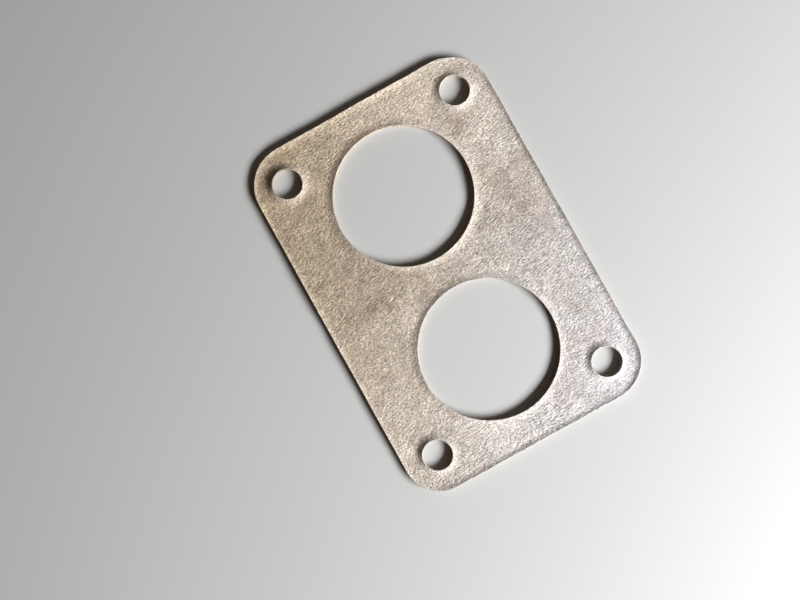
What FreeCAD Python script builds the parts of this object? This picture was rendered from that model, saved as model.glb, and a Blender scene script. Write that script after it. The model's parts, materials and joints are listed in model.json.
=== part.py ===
import FreeCAD, Part
import math
import os
import Sketcher

# A flat die-cut paper gasket for a twin-port, four-stud manifold flange, in millimetres.
# The frame: +Z up, +X along the long side, the origin at the middle of the underside.
#
# The die rolls the underside edges over and leaves a raised lip on top along every cut:
# low around the outline and the ports, and higher around the small stud holes.

NODE = "manifold_gasket"

# Alias, value and meaning of every driving dimension, in millimetres.
DIMENSIONS = [
    ("outline_length", 114.0, "overall length along X"),
    ("outline_width", 78.0, "overall width along Y"),
    ("corner_radius", 12.0, "the four outer corners"),
    ("sheet_thickness", 1.0, "the flat sheet"),
    ("port_diameter", 42.0, "the two gas ports"),
    ("port_spacing", 52.0, "between the port centres, along X"),
    ("stud_hole_diameter", 9.0, "clearance holes for M8 studs"),
    ("stud_spacing_long", 92.0, "between the stud holes, along X"),
    ("stud_spacing_short", 57.0, "between the stud holes, along Y"),
    ("low_lip_height", 0.45, "outline and port lips, above the sheet"),
    ("low_lip_width", 2.2, "the same lips, from the cut to the flat sheet"),
    ("low_lip_hollow", 7.0, "radius of their hollow slope"),
    ("stud_lip_height", 0.9, "stud hole lips, above the sheet"),
    ("stud_lip_width", 2.6, "the same lips, from the cut to the flat sheet"),
    ("stud_lip_hollow", 5.5, "radius of their hollow slope"),
    ("roll_over", 0.3, "rounding of the cut edges on the underside"),
]
SIZE = {alias: value for alias, value, meaning in DIMENSIONS}

# A sketch element's points, as constraints number them; the sketch's origin and its V axis.
START, END, CENTRE = 1, 2, 3
ORIGIN = (-1, 1)
V_AXIS = -2

# The lips are a small part of the whole, so more than this means a missing hole.
LARGEST_LIP_SHARE = 0.08


def make_sheet(doc):
    """The spreadsheet that drives every size below."""
    sheet = doc.addObject("Spreadsheet::Sheet", "Dimensions")
    for row, (alias, value, meaning) in enumerate(DIMENSIONS, start=1):
        sheet.set(f"A{row}", alias)
        sheet.set(f"B{row}", str(value))
        sheet.set(f"C{row}", meaning)
        sheet.setAlias(f"B{row}", alias)
    doc.recompute()


def datum(body, role):
    """One of the body's own origin planes or axes."""
    return next(item for item in body.Origin.OriginFeatures if item.Role == role)


def new_sketch(body, name, plane):
    sketch = body.newObject("Sketcher::SketchObject", name)
    sketch.AttachmentSupport = (datum(body, plane), [""])
    sketch.MapMode = "FlatFace"
    return sketch


def shift_sketch(sketch, axis, alias):
    """Move a sketch half a spacing back along one of its own axes."""
    sketch.setExpression(f"AttachmentOffset.Base.{axis}", f"-0.5 * Dimensions.{alias}")


def constrain(sketch, kind, *references):
    return sketch.addConstraint(Sketcher.Constraint(kind, *references))


def drive(sketch, name, kind, references, alias, factor=1.0):
    """A named constraint whose value is a spreadsheet cell times a factor."""
    index = constrain(sketch, kind, *references, factor * SIZE[alias])
    sketch.renameConstraint(index, name)
    sketch.setExpression(f"Constraints.{name}", f"{factor} * Dimensions.{alias}")


def add_line(sketch, start, end):
    return sketch.addGeometry(Part.LineSegment(FreeCAD.Vector(*start), FreeCAD.Vector(*end)))


def add_feature(body, kind, name, **settings):
    """A new feature, made the body's tip, so that the next one builds on it."""
    feature = body.newObject(kind, name)
    for setting, value in settings.items():
        setattr(feature, setting, value)
    body.Tip = feature
    return feature


def outline_sketch(body):
    """The rounded rectangle, centred on the origin."""
    sketch = new_sketch(body, "Outline", "XY_Plane")
    radius = SIZE["corner_radius"]
    x = SIZE["outline_length"] / 2 - radius
    y = SIZE["outline_width"] / 2 - radius
    arcs = []
    for quarter, centre in enumerate([(x, y), (-x, y), (-x, -y), (x, -y)]):
        circle = Part.Circle(FreeCAD.Vector(*centre), FreeCAD.Vector(0, 0, 1), radius)
        start = quarter * math.pi / 2
        arcs.append(sketch.addGeometry(Part.ArcOfCircle(circle, start, start + math.pi / 2)))
    lines = []
    for arc, next_arc in zip(arcs, arcs[1:] + arcs[:1]):
        line = add_line(sketch, sketch.getPoint(arc, END), sketch.getPoint(next_arc, START))
        constrain(sketch, "Tangent", arc, END, line, START)
        constrain(sketch, "Tangent", line, END, next_arc, START)
        lines.append(line)
    top, left, bottom, right = lines
    for line in (top, bottom):
        constrain(sketch, "Horizontal", line)
    for line in (left, right):
        constrain(sketch, "Vertical", line)
    for arc in arcs[1:]:
        constrain(sketch, "Equal", arcs[0], arc)
    constrain(sketch, "Symmetric", arcs[0], CENTRE, arcs[2], CENTRE, *ORIGIN)
    drive(sketch, "length", "DistanceX", (left, START, right, START), "outline_length")
    drive(sketch, "width", "DistanceY", (bottom, START, top, START), "outline_width")
    drive(sketch, "corner", "Radius", (arcs[0],), "corner_radius")
    return sketch


def hole_sketch(body, name, diameter):
    """A circle at the sketch's origin."""
    sketch = new_sketch(body, name, "XY_Plane")
    circle = Part.Circle(FreeCAD.Vector(), FreeCAD.Vector(0, 0, 1), SIZE[diameter] / 2)
    hole = sketch.addGeometry(circle)
    constrain(sketch, "Coincident", hole, CENTRE, *ORIGIN)
    drive(sketch, "diameter", "Diameter", (hole,), diameter)
    return sketch


def lip_sketch(body, name, lip, cut, cut_factor, to_axis):
    """A lip's section in the XZ plane, standing on the sheet's top face.

    Its hollow slope falls from the crest, at the cut, to its foot on the flat sheet. A
    round lip's section runs in to the hole's axis, and the hole is cut through it later.
    """
    sketch = new_sketch(body, name, "XZ_Plane")
    crest_x = cut_factor * SIZE[cut]
    sheet_z = SIZE["sheet_thickness"]
    hollow = SIZE[lip + "_hollow"]
    crest = FreeCAD.Vector(crest_x, sheet_z + SIZE[lip + "_height"])
    foot = FreeCAD.Vector(crest_x + SIZE[lip + "_width"], sheet_z)
    half_chord = (foot - crest) / 2
    across = FreeCAD.Vector(half_chord.y, -half_chord.x).normalize()
    depth = hollow - math.sqrt(hollow ** 2 - half_chord.Length ** 2)
    slope = sketch.addGeometry(Part.Arc(crest, crest + half_chord + across * depth, foot))
    inner_x = 0 if to_axis else crest_x
    base = add_line(sketch, foot, (inner_x, sheet_z))
    side = add_line(sketch, (inner_x, sheet_z), (inner_x, crest.y))
    constrain(sketch, "Coincident", slope, END, base, START)
    constrain(sketch, "Coincident", base, END, side, START)
    constrain(sketch, "Horizontal", base)
    constrain(sketch, "Vertical", side)
    if to_axis:
        top = add_line(sketch, (inner_x, crest.y), crest)
        constrain(sketch, "Coincident", side, END, top, START)
        constrain(sketch, "Coincident", top, END, slope, START)
        constrain(sketch, "Horizontal", top)
        constrain(sketch, "PointOnObject", side, START, V_AXIS)
    else:
        constrain(sketch, "Coincident", side, END, slope, START)
    drive(sketch, "cut", "DistanceX", (*ORIGIN, slope, START), cut, cut_factor)
    drive(sketch, "width", "DistanceX", (slope, START, slope, END), lip + "_width")
    drive(sketch, "sheet", "DistanceY", (*ORIGIN, slope, END), "sheet_thickness")
    drive(sketch, "height", "DistanceY", (slope, END, slope, START), lip + "_height")
    drive(sketch, "hollow", "Radius", (slope,), lip + "_hollow")
    return sketch


def add_pattern(body, name, feature, spacings):
    """Repeat a feature at each end of a spacing along X, and of a second one along Y."""
    pattern = add_feature(body, "PartDesign::LinearPattern", name, Originals=[feature])
    for suffix, axis, alias in zip(("", "2"), ("X_Axis", "Y_Axis"), spacings):
        setattr(pattern, "Direction" + suffix, (datum(body, axis), [""]))
        setattr(pattern, "Occurrences" + suffix, 2)
        pattern.setExpression("Length" + suffix, f"Dimensions.{alias}")
    body.Document.recompute()


def add_round_lips(body, name, lip, hole, spacings):
    """Raised discs whose rims become the lips of a set of holes."""
    section = lip_sketch(body, name + "Section", lip, hole, 0.5, to_axis=True)
    shift_sketch(section, "x", spacings[0])
    if len(spacings) == 2:
        # The XZ plane's normal is -Y, so the sketch's own axis needs the other sign.
        section.setExpression("AttachmentOffset.Base.z", f"0.5 * Dimensions.{spacings[1]}")
    disc = add_feature(body, "PartDesign::Revolution", name, Profile=section,
                       ReferenceAxis=(section, ["V_Axis"]), Angle=360)
    body.Document.recompute()
    add_pattern(body, name + "Pattern", disc, spacings)


def add_holes(body, name, hole, spacings):
    """A set of round holes right through the sheet."""
    sketch = hole_sketch(body, name + "Circle", hole)
    for axis, alias in zip("xy", spacings):
        shift_sketch(sketch, axis, alias)
    cut = add_feature(body, "PartDesign::Pocket", name, Profile=sketch,
                      Type="ThroughAll", Reversed=True)
    body.Document.recompute()
    add_pattern(body, name + "Pattern", cut, spacings)


def make_gasket(doc):
    body = doc.addObject("PartDesign::Body", "Gasket")
    body.Label = NODE
    body.Placement = FreeCAD.Placement()

    outline = outline_sketch(body)
    sheet = add_feature(body, "PartDesign::Pad", "Sheet", Profile=outline)
    sheet.setExpression("Length", "Dimensions.sheet_thickness")
    doc.recompute()

    edge_section = lip_sketch(body, "EdgeLipSection", "low_lip", "outline_length", -0.5, to_axis=False)
    add_feature(body, "PartDesign::AdditivePipe", "EdgeLip", Profile=edge_section, Spine=outline)
    doc.recompute()

    ports = ["port_spacing"]
    studs = ["stud_spacing_long", "stud_spacing_short"]
    add_round_lips(body, "PortLips", "low_lip", "port_diameter", ports)
    add_round_lips(body, "StudLips", "stud_lip", "stud_hole_diameter", studs)
    add_holes(body, "Ports", "port_diameter", ports)
    add_holes(body, "StudHoles", "stud_hole_diameter", studs)

    underside = [f"Edge{number}" for number, edge in enumerate(body.Shape.Edges, start=1)
                 if edge.BoundBox.ZMax < SIZE["sheet_thickness"] / 2]
    roll_over = add_feature(body, "PartDesign::Fillet", "RollOver", Base=(body.Tip, underside))
    roll_over.setExpression("Radius", "Dimensions.roll_over")
    doc.recompute()
    return body


def plain_volume():
    """The flat sheet's volume, holes cut out, with no lips and no rounding."""
    corners = (4 - math.pi) * SIZE["corner_radius"] ** 2
    ports = 2 * math.pi * (SIZE["port_diameter"] / 2) ** 2
    studs = 4 * math.pi * (SIZE["stud_hole_diameter"] / 2) ** 2
    area = SIZE["outline_length"] * SIZE["outline_width"] - corners - ports - studs
    return area * SIZE["sheet_thickness"]


def check(doc, body):
    """Stop if anything failed to compute, or a cut or a lip went missing."""
    failed = [item.Name for item in doc.Objects if {"Invalid", "Error"} & set(item.State)]
    loose = [item.Name for item in doc.Objects
             if item.TypeId == "Sketcher::SketchObject" and not item.FullyConstrained]
    if failed or loose:
        raise RuntimeError(f"failed: {failed}, not fully constrained: {loose}")
    shape = body.Shape
    if shape.isNull() or not shape.isValid() or len(shape.Solids) != 1:
        raise RuntimeError(f"{body.Label} isn't one valid solid")
    extra = shape.Volume / plain_volume() - 1
    if not 0 < extra < LARGEST_LIP_SHARE:
        raise RuntimeError(f"the volume is off by {extra:.1%} of the plain sheet's")
    box = shape.optimalBoundingBox(False, False)
    print(f"{body.Label}: {box.XLength:.2f} x {box.YLength:.2f} x {box.ZLength:.2f} mm, "
          f"{shape.Volume:.1f} mm3, lips add {extra:.1%}")


def main():
    doc = FreeCAD.newDocument("ManifoldGasket")
    make_sheet(doc)
    gasket = make_gasket(doc)
    check(doc, gasket)
    os.makedirs("parts", exist_ok=True)
    gasket.Shape.exportStep(f"parts/{gasket.Label}.step")


main()
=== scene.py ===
"""Looks of the manifold gasket: one die-cut sheet of tan fibre paper, with a raised lip along every cut.

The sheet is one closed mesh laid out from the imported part's own numbers. Everything is in metres.
"Inset" is how far a point lies from the nearest cut, into the paper and level with the sheet.
"""

import json
import math

import bpy
from mathutils import Matrix, Vector, noise
from mathutils.geometry import delaunay_2d_cdt


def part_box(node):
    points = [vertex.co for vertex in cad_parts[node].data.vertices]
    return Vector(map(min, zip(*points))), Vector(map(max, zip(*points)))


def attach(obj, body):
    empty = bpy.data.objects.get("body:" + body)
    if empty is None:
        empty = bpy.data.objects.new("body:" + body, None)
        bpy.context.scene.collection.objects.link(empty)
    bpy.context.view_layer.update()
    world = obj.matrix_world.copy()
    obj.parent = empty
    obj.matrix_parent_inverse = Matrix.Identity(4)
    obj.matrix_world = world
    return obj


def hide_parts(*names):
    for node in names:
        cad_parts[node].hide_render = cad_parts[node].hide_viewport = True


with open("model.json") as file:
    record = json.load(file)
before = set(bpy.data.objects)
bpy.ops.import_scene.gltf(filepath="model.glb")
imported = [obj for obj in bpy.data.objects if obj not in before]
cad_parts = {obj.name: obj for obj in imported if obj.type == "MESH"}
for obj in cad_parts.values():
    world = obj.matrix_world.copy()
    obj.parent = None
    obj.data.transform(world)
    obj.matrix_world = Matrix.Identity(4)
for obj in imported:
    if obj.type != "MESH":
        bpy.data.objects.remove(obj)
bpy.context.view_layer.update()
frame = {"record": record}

MM = 0.001
NODE = "manifold_gasket"

# The part's own sizes
MOUNTS = {mount["name"]: mount for mount in frame["record"]["mounts"]}
BOX_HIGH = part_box(NODE)[1]
HALF_LENGTH = BOX_HIGH.x
HALF_WIDTH = BOX_HIGH.y
FULL_HEIGHT = BOX_HIGH.z
SHEET_TOP = MOUNTS["lipped_face"]["pos_m"][2]
PORTS = [MOUNTS["port_low_x"], MOUNTS["port_high_x"]]
STUDS = MOUNTS["stud_holes"]["dims"]

# Lips: how high they stand above the sheet and how far into the paper they reach. The edges go
# by the way they face, the ports towards +X, and the stud holes clockwise from the -X, -Y one.
EDGE_LIPS = {
    (1, 0): (0.58 * MM, 2.0 * MM),
    (0, 1): (0.64 * MM, 1.7 * MM),
    (-1, 0): (0.54 * MM, 2.2 * MM),
    (0, -1): (0.52 * MM, 1.3 * MM),
}
PORT_LIPS = [(0.76 * MM, 2.9 * MM), (0.62 * MM, 2.5 * MM)]
STUD_LIPS = [
    (1.02 * MM, 2.9 * MM),
    (0.98 * MM, 2.8 * MM),
    (0.84 * MM, 2.2 * MM),
    (0.98 * MM, 2.5 * MM),
]
STEEP_SHARE = 0.34  # of the lip's width, next to the cut, where its slope is steady
LIP_VARIATION = 0.15  # of its height, which is lost at the lowest places
LIP_PATCH = 7.0 * MM

# Crests that would pass the part's full height flatten over this last bit below it
HEADROOM = 0.05 * MM

# The cuts: each corner has its own radius, and no edge is quite straight
CORNER_RADII = {(1, 1): 12.4 * MM, (-1, 1): 13.0 * MM, (-1, -1): 12.3 * MM, (1, -1): 11.0 * MM}
EDGE_WANDER = 0.12 * MM
EDGE_PATCH = 9.0 * MM
EDGE_FUZZ = 0.012 * MM
FUZZ_PATCH = 0.8 * MM
CREST_ROUND = 0.10 * MM
ROLL_OVER = 0.30 * MM

# Mesh density: spacing along the cuts and inside each face, and the rows that run along a cut
CUT_STEP = 0.30 * MM
TOP_STEP = 0.44 * MM
UNDER_STEP = 1.1 * MM
GRID_GAP = 0.6  # of a step, kept free between the rows and the points inside
WALL_ROWS = 4
TOP_INSETS = [d * MM for d in (0.0, 0.03, 0.08, 0.16, 0.32, 0.55, 0.85, 1.2, 1.6, 2.05, 2.5)]
UNDER_INSETS = [d * MM for d in (0.0, 0.06, 0.15, 0.30, 0.75)]
WHOLE_HULL = 0  # the triangulation's output type: every triangle, those in the holes too
SAME_PLACE = 1e-9  # metres within which two points count as one

# Value of the "lift" attribute on the walls of the cuts, where the faces have the lips' height
WALL_MARK = -0.5 * MM

# Numbers of the noise patterns, and how far apart they lie in the noise
OUTLINE_PATTERN = 1
ROUND_PATTERN = 10
LIP_PATTERN = 30
SWELL_PATTERN = 50
WALL_PATTERN = 60
PATTERN_GAP = 17.3

# Soft creases and dents, in millimetres: middle x and y, direction in degrees, half length,
# half width and rise
CREASES = [
    (-17.0, 27.0, -57.0, 9.0, 3.5, -0.28),
    (-25.0, 30.0, 90.0, 10.0, 4.0, 0.20),
    (3.5, 33.0, 90.0, 9.0, 4.0, 0.24),
    (-37.0, 23.5, -50.0, 5.0, 2.0, -0.18),
    (1.5, -24.0, -78.0, 14.0, 3.2, 0.28),
    (-51.5, -33.2, -45.0, 5.0, 2.6, -0.28),
]

# How far the sheet is pressed down round each stud hole, in the same order as their lips
STUD_DENTS = [0.16 * MM, 0.14 * MM, 0.10 * MM, 0.14 * MM]
DENT_REACH = 8.0 * MM

# Swells of the whole sheet: size of their patches and rise, and what the underside takes of it
WAVES = [(22.0 * MM, 0.28 * MM), (9.0 * MM, 0.15 * MM), (4.0 * MM, 0.045 * MM)]
UNDER_SHARE = 0.5

# Browner and paler places of the paper, in millimetres: middle x and y, radius and strength, which is
# negative for the paler places. Some are stains, and some are painted shade or a painted highlight, as
# marked.
STAINS_AND_PAINTED_LIGHT = [
    # Painted shade over the lower middle of the sheet
    (-6.0, -20.0, 24.0, 0.36),
    # Painted shade at the -X, -Y corner, behind that stud hole's lip
    (-51.5, -33.5, 9.0, 0.75),
    # Painted shade towards the -X, -Y side
    (-30.0, -31.0, 14.0, 0.35),
    # Painted shade on the crease beside the -X, +Y stud hole
    (-39.0, 24.0, 8.0, 0.85),
    # Painted shade along the crease near the +Y edge
    (-16.0, 30.0, 14.0, 0.25),
    (-46.0, 14.0, 32.0, -0.60),
    (-32.0, 29.0, 14.0, -0.30),
    (8.0, 12.0, 14.0, -0.30),
    # Painted highlight: the lit side of the +X, +Y stud hole's lip
    (50.0, 32.0, 15.0, -0.35),
    (10.0, -14.0, 8.0, -0.50),
    (55.0, -10.0, 20.0, -0.35),
    (-0.5, 10.8, 0.6, 1.50),
]

# Uneven clouds of the pulp: size of their patches, strength and noise offset
CLOUDS = [(9.0 * MM, 1.0, 3.0), (2.2 * MM, 0.55, 12.0)]

# The fibres of the pulp run along Y, so the fine marks are this many times longer along each axis
FIBRE_RUN = (1.0, 2.8, 1.0)

# A faint scored line across the middle web, drawn in colour as a dark line that paints the shade in its
# shallow groove, in millimetres: middle x and y, direction in degrees, half length and half width
SCORE = (1.5, 13.9, 7.0, 6.5, 0.30)

# Hues of the paper towards -X, -Y and towards +X, +Y, which its brightness scales. The change between
# them is partly the paper's own and partly painted light: the cool key light on the +X, +Y side and warm
# bounce in the shade towards -X, -Y.
WARM_HUE_AND_PAINTED_SHADE = (1.0, 0.765, 0.480, 1.0)
COOL_HUE_AND_PAINTED_LIGHT = (1.0, 0.980, 1.020, 1.0)

# Colours that mark it. The pale one also paints a highlight on the lips, and the darkest paints the
# shade in the scored line.
GROOVE_SHADE = (0.150, 0.115, 0.085, 1.0)
UMBER = (0.270, 0.180, 0.105, 1.0)
RUB_AND_HIGHLIGHT_WHITE = (0.850, 0.800, 0.730, 1.0)
ROSY = (0.600, 0.430, 0.370, 1.0)
OLIVE = (0.480, 0.430, 0.270, 1.0)

# The studio, in metres, watts and degrees
FLOOR_HALF = 3.0
KEY_LIGHT = {
    "azimuth": 33.0,
    "elevation": 24.0,
    "distance": 0.65,
    "size": (0.46, 0.16),
    "power": 11.6,
    "colour": (0.97, 0.985, 1.0),
}
FILL_LIGHT = {
    "azimuth": 95.0,
    "elevation": 35.0,
    "distance": 0.90,
    "size": (0.80, 0.50),
    "power": 0.35,
    "colour": (0.90, 0.96, 1.0),
}
SURROUND_COLOUR = (1.0, 0.66, 0.40, 1.0)
SURROUND_STRENGTH = 0.045

# The camera: where it stands, where it looks, and which way is up in its picture
CAMERA_PLACE = Vector((3.528, -13.605, 179.791)) * MM
CAMERA_TARGET = Vector((0.494, -15.920, 1.250)) * MM
CAMERA_UP = Vector((-0.87389, 0.48605, 0.0))
SENSOR_WIDTH = 36.0
LENS = 27.05


# ---------------------------------------------------------------- the cuts


def wander(x, y, patch, pattern):
    """Smooth noise from about -1 to 1 over the sheet, in patches of about that size."""
    return noise.noise(Vector((x / patch, y / patch, PATTERN_GAP * pattern)))


def arc(centre, radius, start, sweep, side):
    """Points along an arc with the direction from each into the paper: side is 1 outward, -1 inward."""
    count = max(2, round(abs(radius * sweep) / CUT_STEP))
    made = []
    for i in range(count):
        angle = start + sweep * i / count
        out = Vector((math.cos(angle), math.sin(angle)))
        made.append((Vector(centre) + out * radius, out * side))
    return made


def straight(start, end, inward):
    """Points along a straight run, without its end, with the direction from each into the paper."""
    start, end = Vector(start), Vector(end)
    count = max(1, round((end - start).length / CUT_STEP))
    return [(start.lerp(end, i / count), Vector(inward)) for i in range(count)]


def outline_line():
    """The outer cut, counter-clockwise from the +X end of the +X, +Y corner."""
    line = []
    corners = [(1, 1), (-1, 1), (-1, -1), (1, -1)]
    for turn, (sx, sy) in enumerate(corners):
        radius = CORNER_RADII[(sx, sy)]
        centre = (sx * (HALF_LENGTH - radius), sy * (HALF_WIDTH - radius))
        line += arc(centre, radius, turn * math.pi / 2, math.pi / 2, -1)
        nx, ny = corners[(turn + 1) % 4]
        after = CORNER_RADII[(nx, ny)]
        next_centre = (nx * (HALF_LENGTH - after), ny * (HALF_WIDTH - after))
        out = Vector((math.cos((turn + 1) * math.pi / 2), math.sin((turn + 1) * math.pi / 2)))
        line += straight(Vector(centre) + out * radius, Vector(next_centre) + out * after, -out)
    return line


def circle_line(centre, radius):
    """A round cut, clockwise, so that the paper is always on the left of the line."""
    return arc(centre, radius, 0.0, -2 * math.pi, 1)


def uneven(line, pattern, inward_only):
    """The line as a worn die cuts it: a slow wander, and a fine fuzz of torn fibres."""
    made = []
    for point, inward in line:
        slow = wander(point.x, point.y, EDGE_PATCH, pattern)
        fine = wander(point.x, point.y, FUZZ_PATCH, pattern + 1)
        shift = EDGE_WANDER * (0.5 + slow if inward_only else slow * 0.5) + EDGE_FUZZ * fine
        if inward_only:
            shift = max(0.0, shift)
        made.append((point + inward * shift, inward))
    return made


def port_places():
    """Centre and radius of each port."""
    return [(Vector(port["pos_m"][:2]), port["dims"]["r_mm"] * MM) for port in PORTS]


def stud_places():
    """Centre and radius of each stud hole."""
    half_x, half_y = STUDS["spacing_x_mm"] * MM / 2, STUDS["spacing_y_mm"] * MM / 2
    places = [(-half_x, -half_y), (-half_x, half_y), (half_x, half_y), (half_x, -half_y)]
    return [(Vector(place), STUDS["hole_r_mm"] * MM) for place in places]


STUD_CUTS = stud_places()
ROUND_CUTS = port_places() + STUD_CUTS
ROUND_LIPS = PORT_LIPS + STUD_LIPS


def all_cuts():
    cuts = [uneven(outline_line(), OUTLINE_PATTERN, True)]
    for number, (centre, radius) in enumerate(ROUND_CUTS):
        cuts.append(uneven(circle_line(centre, radius), ROUND_PATTERN + 2 * number, False))
    return cuts


# ---------------------------------------------------------------- heights of the paper


def corner_radius(x, y):
    """Radius of the corner in a point's quarter of the sheet."""
    return CORNER_RADII[(1 if x > 0 else -1, 1 if y > 0 else -1)]


def outline_inset(x, y):
    """How far inside the nominal outline a point is."""
    radius = corner_radius(x, y)
    over_x = abs(x) - (HALF_LENGTH - radius)
    over_y = abs(y) - (HALF_WIDTH - radius)
    outside = math.hypot(max(over_x, 0.0), max(over_y, 0.0))
    return radius - outside - min(max(over_x, over_y), 0.0)


def edge_lip(x, y):
    """Size of the outline's lip near a point. It changes from one side to the next round a corner."""
    radius = corner_radius(x, y)
    sides = []
    for (toward_x, toward_y), size in EDGE_LIPS.items():
        reach = toward_x * x + toward_y * y - (HALF_LENGTH if toward_x else HALF_WIDTH) + radius
        sides.append((max(reach, 0.0) ** 2, size))
    total = sum(weight for weight, _ in sides)
    if total == 0.0:
        return (0.0, 0.0)
    return tuple(sum(weight * size[i] for weight, size in sides) / total for i in range(2))


def lip(inset, size, x, y):
    """Height of a lip above the sheet: steepest near the cut, then easing off to the flat paper."""
    height, width = size
    if inset >= width:
        return 0.0
    height *= 1.0 - LIP_VARIATION * (0.5 - 0.5 * wander(x, y, LIP_PATCH, LIP_PATTERN))
    share = max(inset, 0.0) / width
    fall = 2.0 / (1.0 + STEEP_SHARE)
    if share < STEEP_SHARE:
        return height * (1.0 - fall * share)
    return height * fall * (1.0 - share) ** 2 / (2.0 * (1.0 - STEEP_SHARE))


def crease(x, y):
    """Height that the soft creases and dents add, in metres."""
    x, y = x / MM, y / MM
    total = 0.0
    for middle_x, middle_y, degrees, half_length, half_width, rise in CREASES:
        angle = math.radians(degrees)
        along = (x - middle_x) * math.cos(angle) + (y - middle_y) * math.sin(angle)
        across = (y - middle_y) * math.cos(angle) - (x - middle_x) * math.sin(angle)
        total += rise * math.exp(-((along / half_length) ** 2) - (across / half_width) ** 2)
    return total * MM


def swell(x, y):
    """How far the whole sheet bulges up, or sinks, at a point."""
    total = crease(x, y)
    for (centre, _), depth in zip(STUD_CUTS, STUD_DENTS):
        away = math.hypot(x - centre.x, y - centre.y)
        total -= depth * math.exp(-((away / DENT_REACH) ** 2))
    for number, (patch, rise) in enumerate(WAVES):
        total += rise * wander(x, y, patch, SWELL_PATTERN + number)
    return total


def lift(x, y):
    """How far the lips raise the upper face at a point."""
    total = lip(outline_inset(x, y), edge_lip(x, y), x, y)
    for (centre, radius), size in zip(ROUND_CUTS, ROUND_LIPS):
        total += lip(math.hypot(x - centre.x, y - centre.y) - radius, size, x, y)
    return total


def rounding(radius, inset):
    """How far a rounded edge falls short of its face at an inset."""
    if inset >= radius:
        return 0.0
    return radius - math.sqrt(radius**2 - (radius - inset) ** 2)


def top_height(x, y, inset):
    """Height of the upper face: its crests are rounded, and stay under the part's full height."""
    height = SHEET_TOP + swell(x, y) + lift(x, y) - rounding(CREST_ROUND, inset)
    over = height - (FULL_HEIGHT - HEADROOM)
    if over > 0.0:
        height = FULL_HEIGHT - HEADROOM * math.exp(-over / HEADROOM)
    return height


def under_height(x, y, inset):
    """Height of the lower face: flat where the sheet rests, and rounded off at each cut."""
    return max(0.0, UNDER_SHARE * swell(x, y)) + rounding(ROLL_OVER, inset)


# ---------------------------------------------------------------- the mesh


class Shell:
    """Collects the vertices and faces of one mesh, and how far the lips raise each vertex."""

    def __init__(self):
        self.points = []
        self.lifts = []
        self.faces = []

    def add(self, x, y, z, wall=False):
        self.points.append((x, y, z))
        self.lifts.append(WALL_MARK if wall else lift(x, y))
        return len(self.points) - 1

    def ring(self, line, inset, height):
        """A closed row of vertices at one inset from a cut."""
        row = []
        for point, inward in line:
            place = point + inward * inset
            row.append(self.add(place.x, place.y, height(place.x, place.y, inset)))
        return row

    def bands(self, rows, downward=False):
        """Faces between each closed row and the next. They look up where the rows go into the
        paper, unless they are to look down.
        """
        for first, second in zip(rows, rows[1:]):
            if downward:
                first, second = second, first
            for i in range(len(first)):
                j = (i + 1) % len(first)
                self.faces.append((first[i], first[j], second[j], second[i]))


def grid_points(step, clearance):
    """Points of a triangular grid that are further than the clearance from every cut."""
    made = []
    rows = int(HALF_WIDTH / (step * math.sqrt(3) / 2)) + 1
    columns = int(HALF_LENGTH / step) + 1
    for row in range(-rows, rows + 1):
        y = row * step * math.sqrt(3) / 2
        for column in range(-columns, columns + 1):
            x = (column + 0.5 * (row % 2)) * step
            if nearest_cut(x, y) > clearance:
                made.append(Vector((x, y)))
    return made


def nearest_cut(x, y):
    """How far a point is from the nearest nominal cut."""
    insets = [outline_inset(x, y)]
    for centre, radius in ROUND_CUTS:
        insets.append(math.hypot(x - centre.x, y - centre.y) - radius)
    return min(insets)


def on_paper(corners, row_of, places):
    """False for a triangle across a hole, or outside the outline. The corners of such a triangle
    lie on one row and turn right along it, while the paper is on the left of every row.
    """
    first, second, third = sorted(corners)
    if third >= len(row_of) or row_of[first] != row_of[third]:
        return True
    turn = (places[second] - places[first]).cross(places[third] - places[first])
    return turn > 0.0


def fill(shell, rows, step, last_inset, height, upward):
    """Closes the face between the innermost rows of all cuts with a fine triangle mesh."""
    places, edges, known, row_of = [], [], [], []
    for number, row in enumerate(rows):
        start = len(places)
        places += [Vector(shell.points[index][:2]) for index in row]
        known += row
        row_of += [number] * len(row)
        edges += [(start + i, start + (i + 1) % len(row)) for i in range(len(row))]
    for place in grid_points(step, last_inset + GRID_GAP * step):
        places.append(place)
        inset = nearest_cut(place.x, place.y)
        known.append(shell.add(place.x, place.y, height(place.x, place.y, inset)))
    _, _, triangles, sources, _, _ = delaunay_2d_cdt(places, edges, [], WHOLE_HULL, SAME_PLACE)
    for triangle in triangles:
        corners = [sources[i][0] for i in triangle]
        if on_paper(corners, row_of, places):
            face = [known[i] for i in corners]
            shell.faces.append(face if upward else face[::-1])


def add_wall(shell, line, low, high):
    """The wall of one cut, between the edges of the two faces, with torn fibres on it."""
    rows = [low]
    for step in range(1, WALL_ROWS):
        share = step / WALL_ROWS
        row = []
        for bottom, top, (_, inward) in zip(low, high, line):
            x, y, z = Vector(shell.points[bottom]).lerp(Vector(shell.points[top]), share)
            fuzz = EDGE_FUZZ * max(0.0, wander(x + z, y - z, FUZZ_PATCH, WALL_PATTERN))
            row.append(shell.add(x + inward.x * fuzz, y + inward.y * fuzz, z, wall=True))
        rows.append(row)
    rows.append(high)
    shell.bands(rows)


def make_object(shell, name):
    mesh = bpy.data.meshes.new(name)
    mesh.from_pydata(shell.points, [], shell.faces)
    attribute = mesh.attributes.new("lift", "FLOAT", "POINT")
    attribute.data.foreach_set("value", shell.lifts)
    mesh.update()
    mesh.shade_smooth()
    made = bpy.data.objects.new(name, mesh)
    bpy.context.scene.collection.objects.link(made)
    return made


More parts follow.
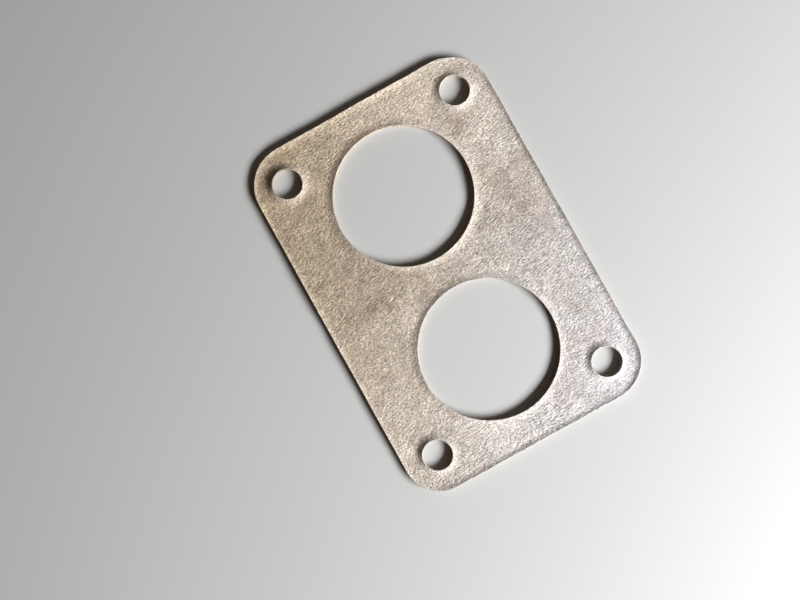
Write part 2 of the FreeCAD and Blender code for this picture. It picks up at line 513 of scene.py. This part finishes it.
def build_sheet():
    shell = Shell()
    top_rows, under_rows = [], []
    for line in all_cuts():
        top = [shell.ring(line, inset, top_height) for inset in TOP_INSETS]
        shell.bands(top)
        under = [shell.ring(line, inset, under_height) for inset in UNDER_INSETS]
        shell.bands(under, downward=True)
        add_wall(shell, line, under[0], top[0])
        top_rows.append(top[-1])
        under_rows.append(under[-1])
    fill(shell, top_rows, TOP_STEP, TOP_INSETS[-1], top_height, True)
    fill(shell, under_rows, UNDER_STEP, UNDER_INSETS[-1], under_height, False)
    return make_object(shell, "gasket_sheet")


# ---------------------------------------------------------------- materials


class Graph:
    """A small helper that adds and links shader nodes."""

    def __init__(self, name):
        self.material = bpy.data.materials.new(name)
        self.material.use_nodes = True
        self.tree = self.material.node_tree
        self.shader = self.tree.nodes["Principled BSDF"]
        self.place = self.add("ShaderNodeTexCoord").outputs["Object"]

    def add(self, kind, **settings):
        node = self.tree.nodes.new(kind)
        for name, value in settings.items():
            setattr(node, name, value)
        return node

    def put(self, value, socket):
        """Links an output to a socket, or sets the socket's own value."""
        if isinstance(value, bpy.types.NodeSocket):
            self.tree.links.new(value, socket)
        else:
            socket.default_value = value

    def noise(self, patch, detail=2.0, roughness=0.5, stretch=(1.0, 1.0, 1.0), seed=0.0):
        """Noise whose patches are about that long in metres. Stretch lengthens them along an axis."""
        mapping = self.add("ShaderNodeMapping", vector_type="POINT")
        self.put(self.place, mapping.inputs["Vector"])
        mapping.inputs["Scale"].default_value = [1.0 / (patch * s) for s in stretch]
        mapping.inputs["Location"].default_value = (seed, seed * 1.7, seed * 0.3)
        texture = self.add("ShaderNodeTexNoise")
        self.put(mapping.outputs["Vector"], texture.inputs["Vector"])
        texture.inputs["Scale"].default_value = 1.0
        texture.inputs["Detail"].default_value = detail
        texture.inputs["Roughness"].default_value = roughness
        return texture.outputs["Fac"]

    def math(self, operation, *values):
        node = self.add("ShaderNodeMath", operation=operation)
        for value, socket in zip(values, node.inputs):
            self.put(value, socket)
        return node.outputs["Value"]

    def remap(self, value, low, high, out_low=0.0, out_high=1.0):
        """Carries low to out_low and high to out_high, and stays between the two."""
        node = self.add("ShaderNodeMapRange", clamp=True)
        for name, setting in (
            ("Value", value),
            ("From Min", low),
            ("From Max", high),
            ("To Min", out_low),
            ("To Max", out_high),
        ):
            self.put(setting, node.inputs[name])
        return node.outputs["Result"]

    def spot(self, x, y, radius):
        """1 at a place on the sheet, falling to 0 at a radius from it."""
        node = self.add("ShaderNodeVectorMath", operation="DISTANCE")
        self.put(self.place, node.inputs[0])
        node.inputs[1].default_value = (x, y, SHEET_TOP)
        return self.remap(node.outputs["Value"], radius, 0.0)

    def line(self, x, y, degrees, half_length, half_width):
        """1 along a straight mark on the sheet, falling to 0 at its half width and its ends."""
        mapping = self.add("ShaderNodeMapping", vector_type="TEXTURE")
        self.put(self.place, mapping.inputs["Vector"])
        mapping.inputs["Location"].default_value = (x, y, 0.0)
        mapping.inputs["Rotation"].default_value = (0.0, 0.0, math.radians(degrees))
        axes = self.add("ShaderNodeSeparateXYZ")
        self.put(mapping.outputs["Vector"], axes.inputs["Vector"])
        along = self.math("ABSOLUTE", axes.outputs["X"])
        across = self.math("ABSOLUTE", axes.outputs["Y"])
        end = self.remap(along, half_length, 0.5 * half_length)
        return self.math("MULTIPLY", self.remap(across, half_width, 0.0), end)

    def mix(self, factor, first, second):
        """From the first colour at 0 to the second at 1. The node has the sockets of every type."""
        node = self.add("ShaderNodeMix", data_type="RGBA")
        factor_socket, first_socket, second_socket = (node.inputs[i] for i in (0, 6, 7))
        self.put(factor, factor_socket)
        self.put(first, first_socket)
        self.put(second, second_socket)
        return node.outputs[2]

    def scale(self, colour, factor):
        """The same hue, made brighter or darker."""
        node = self.add("ShaderNodeVectorMath", operation="SCALE")
        self.put(colour, node.inputs[0])
        self.put(factor, node.inputs["Scale"])
        return node.outputs["Vector"]

    def bump(self, height, depth):
        """Bump from a 0 to 1 height that stands for that many metres."""
        node = self.add("ShaderNodeBump")
        self.put(height, node.inputs["Height"])
        node.inputs["Strength"].default_value = 1.0
        node.inputs["Distance"].default_value = depth
        return node.outputs["Normal"]


def paper_tone(graph, along, across):
    """How pale the paper is: paler towards +X and +Y, darker at the stains and the painted shade, paler
    at the painted highlight, with uneven clouds.
    """
    # Paler towards +X and +Y: partly the paper's own tone, partly the painted fall-off of the key light,
    # which shines from that side
    tone = graph.math("MULTIPLY_ADD", along, 0.20, 0.38)
    tone = graph.math("MULTIPLY_ADD", across, 0.06, tone)
    # Round spots: stains, and the painted shade and painted highlight marked in their list
    for middle_x, middle_y, radius, strength in STAINS_AND_PAINTED_LIGHT:
        spot_mark = graph.spot(middle_x * MM, middle_y * MM, radius * MM)
        tone = graph.math("MULTIPLY_ADD", spot_mark, -strength, tone)
    for patch, amount, seed in CLOUDS:
        clouds = graph.math("SUBTRACT", graph.noise(patch, detail=3.0, roughness=0.6, seed=seed), 0.5)
        tone = graph.math("MULTIPLY_ADD", clouds, amount, tone)
    return tone


def paper_brightness(graph, tone):
    """The pulp's brightness, painted light and shade included: the tone, with mottling and fine flecks.
    """
    bright = graph.math("MULTIPLY_ADD", tone, 0.40, 0.375)
    mottles = graph.noise(1.5 * MM, detail=2.0, roughness=0.6, stretch=FIBRE_RUN, seed=14.0)
    bright = graph.math("MULTIPLY", bright, graph.remap(mottles, 0.30, 0.70, 0.82, 1.18))
    flecks = graph.noise(0.28 * MM, detail=2.0, roughness=0.7, stretch=FIBRE_RUN, seed=21.0)
    return graph.math("MULTIPLY", bright, graph.remap(flecks, 0.34, 0.66, 0.46, 1.54))


def paper_hue(graph, along, across, tone):
    """Cooler towards +X and +Y, and warmer where the tone is darker: partly the paper's own hue, partly
    painted light, the cool key on its lit side and warm bounce in the painted shade.
    """
    coolness = graph.math("MULTIPLY_ADD", along, 0.52, graph.math("MULTIPLY", across, 0.48))
    coolness = graph.math("MULTIPLY", coolness, graph.remap(tone, 0.15, 0.55, 0.60, 1.0))
    return graph.mix(coolness, WARM_HUE_AND_PAINTED_SHADE, COOL_HUE_AND_PAINTED_LIGHT)


def paper_marks(graph, colour):
    """The colour with faint tints, the lips paler as they rise, partly rubbed paper and partly a painted
    highlight, the scored line darkened as painted shade of its groove, and the browner walls.
    """
    tints = graph.noise(7.0 * MM, detail=3.0, roughness=0.6, seed=8.0)
    colour = graph.mix(graph.remap(tints, 0.48, 0.75, 0.0, 0.35), colour, ROSY)
    colour = graph.mix(graph.remap(tints, 0.48, 0.25, 0.0, 0.15), colour, OLIVE)
    raised = graph.add("ShaderNodeAttribute", attribute_name="lift").outputs["Fac"]
    # Paler as the lips rise: partly rubbed paper, partly a painted highlight for their lit slopes, laid
    # on all round
    colour = graph.mix(graph.remap(raised, 0.10 * MM, 0.60 * MM, 0.0, 0.28), colour, RUB_AND_HIGHLIGHT_WHITE)
    x, y, degrees, half_length, half_width = SCORE
    score = graph.line(x * MM, y * MM, degrees, half_length * MM, half_width * MM)
    # Painted shade: the scored line's shallow groove drawn as a dark line
    colour = graph.mix(graph.math("MULTIPLY", score, 0.6), colour, GROOVE_SHADE)
    return graph.mix(graph.remap(raised, 0.0, WALL_MARK, 0.0, 0.60), colour, UMBER)


def paper_material():
    graph = Graph("gasket_paper")
    position = graph.add("ShaderNodeSeparateXYZ")
    graph.put(graph.place, position.inputs["Vector"])
    along = graph.remap(position.outputs["X"], -HALF_LENGTH, HALF_LENGTH)
    across = graph.remap(position.outputs["Y"], -HALF_WIDTH, HALF_WIDTH)
    tone = paper_tone(graph, along, across)
    colour = graph.scale(paper_hue(graph, along, across, tone), paper_brightness(graph, tone))
    graph.put(paper_marks(graph, colour), graph.shader.inputs["Base Color"])

    rough = graph.remap(graph.noise(1.2 * MM, detail=3.0, seed=5.0), 0.3, 0.7, 0.82, 0.96)
    graph.put(rough, graph.shader.inputs["Roughness"])
    graph.shader.inputs["Specular IOR Level"].default_value = 0.35
    graph.shader.inputs["Sheen Weight"].default_value = 0.12
    graph.shader.inputs["Sheen Roughness"].default_value = 0.6

    grain = graph.noise(0.44 * MM, detail=3.0, roughness=0.70, stretch=FIBRE_RUN, seed=33.0)
    graph.put(graph.bump(grain, 0.74 * MM), graph.shader.inputs["Normal"])
    return graph.material


def floor_material():
    graph = Graph("studio_floor")
    tone = graph.noise(0.22, detail=2.0, seed=2.0)
    colour = graph.mix(tone, (0.54, 0.54, 0.53, 1.0), (0.58, 0.58, 0.57, 1.0))
    graph.put(colour, graph.shader.inputs["Base Color"])
    graph.shader.inputs["Roughness"].default_value = 0.85
    graph.shader.inputs["Specular IOR Level"].default_value = 0.2
    return graph.material


# ---------------------------------------------------------------- the studio


def make_floor():
    half = FLOOR_HALF
    mesh = bpy.data.meshes.new("floor")
    corners = [(-half, -half, 0), (half, -half, 0), (half, half, 0), (-half, half, 0)]
    mesh.from_pydata(corners, [], [(0, 1, 2, 3)])
    floor = bpy.data.objects.new("floor", mesh)
    floor.data.materials.append(floor_material())
    bpy.context.scene.collection.objects.link(floor)


def place_light(name, azimuth, elevation, distance, size, power, colour):
    """A soft rectangular light that faces the middle of the sheet. Size is its width and height."""
    data = bpy.data.lights.new(name, "AREA")
    data.shape = "RECTANGLE"
    data.size, data.size_y = size
    data.energy = power
    data.color = colour
    light = bpy.data.objects.new(name, data)
    turn, rise = math.radians(azimuth), math.radians(elevation)
    level = math.cos(rise)
    back = Vector((math.cos(turn) * level, math.sin(turn) * level, math.sin(rise)))
    light.location = back * distance
    light.rotation_euler = back.to_track_quat("Z", "Y").to_euler()
    bpy.context.scene.collection.objects.link(light)


def light_scene():
    place_light("key", **KEY_LIGHT)
    place_light("fill", **FILL_LIGHT)
    world = bpy.data.worlds.new("studio")
    world.use_nodes = True
    background = world.node_tree.nodes["Background"]
    background.inputs["Color"].default_value = SURROUND_COLOUR
    background.inputs["Strength"].default_value = SURROUND_STRENGTH
    bpy.context.scene.world = world
    bpy.context.scene.view_settings.view_transform = "Standard"


def place_camera():
    """The camera hangs over the sheet and is turned so that the +X end points down to the right."""
    back = (CAMERA_PLACE - CAMERA_TARGET).normalized()
    right = CAMERA_UP.cross(back).normalized()
    up = back.cross(right)
    turn = Matrix((right, up, back)).transposed().to_4x4()
    data = bpy.data.cameras.new("camera")
    data.sensor_width = SENSOR_WIDTH
    data.lens = LENS
    data.clip_start = 10 * MM
    camera = bpy.data.objects.new("camera", data)
    camera.matrix_world = Matrix.Translation(CAMERA_PLACE) @ turn
    bpy.context.scene.collection.objects.link(camera)
    bpy.context.scene.camera = camera


sheet = build_sheet()
sheet.data.materials.append(paper_material())
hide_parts(NODE)
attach(sheet, "root")
make_floor()
light_scene()
place_camera()
